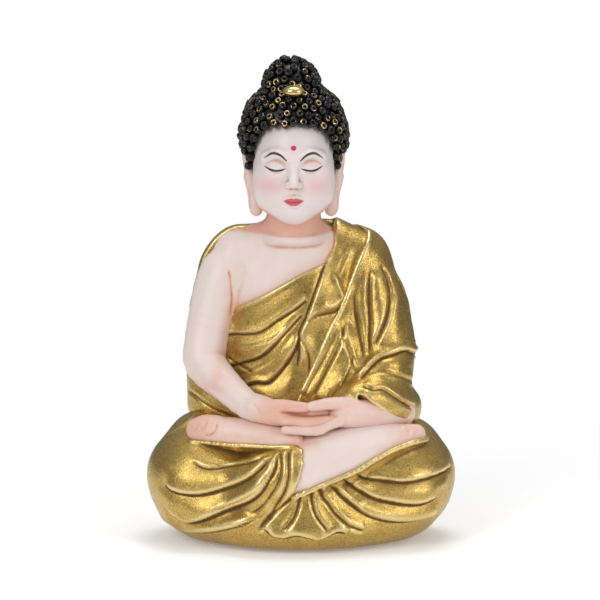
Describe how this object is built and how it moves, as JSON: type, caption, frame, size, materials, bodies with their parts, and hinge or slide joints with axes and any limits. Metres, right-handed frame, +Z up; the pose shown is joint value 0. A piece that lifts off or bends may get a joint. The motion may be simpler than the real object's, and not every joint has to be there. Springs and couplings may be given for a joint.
{
  "type": "seated buddha statue",
  "caption": "Cross-legged seated Buddha figure with hands folded in the lap, gold robe, bare right shoulder and curled hair, for a shelf or altar.",
  "frame": {"origin": "underside of the felt pad, under the middle of the base", "axes": "+Z up, the figure faces -Y, its right hand is at -X"},
  "size_m": [0.128, 0.0901, 0.1999],
  "materials": {
    "gold_paint": "metallic flake gold paint, satin, brown wash in the folds",
    "skin_paint": "pale pink satin paint, orange-pink airbrush in the creases",
    "face_paint": "whiter satin paint with rosy cheeks and painted features",
    "hair_paint": "semi-gloss black with gold dry-brushing on the curls",
    "jewel_gold": "gold enamel",
    "urna_red": "red enamel",
    "bare_resin": "unpainted casting resin",
    "felt": "dark green felt",
    "steel": "plain steel rod"
  },
  "bodies": {
    "root": {"robe_lap": "gold_paint", "robe_torso": "gold_paint", "left_sleeve": "gold_paint", "chest": "skin_paint", "right_arm": "skin_paint", "right_hand": "skin_paint", "left_hand": "skin_paint", "left_foot": "skin_paint", "right_shin_and_foot": "skin_paint", "head": "face_paint", "right_ear": "face_paint", "left_ear": "face_paint", "hair_cap": "hair_paint", "hair_jewel": "jewel_gold", "urna": "urna_red", "neck_dowel": "steel", "base_plate": "bare_resin", "felt_pad": "felt"}
  },
  "joints": []
}
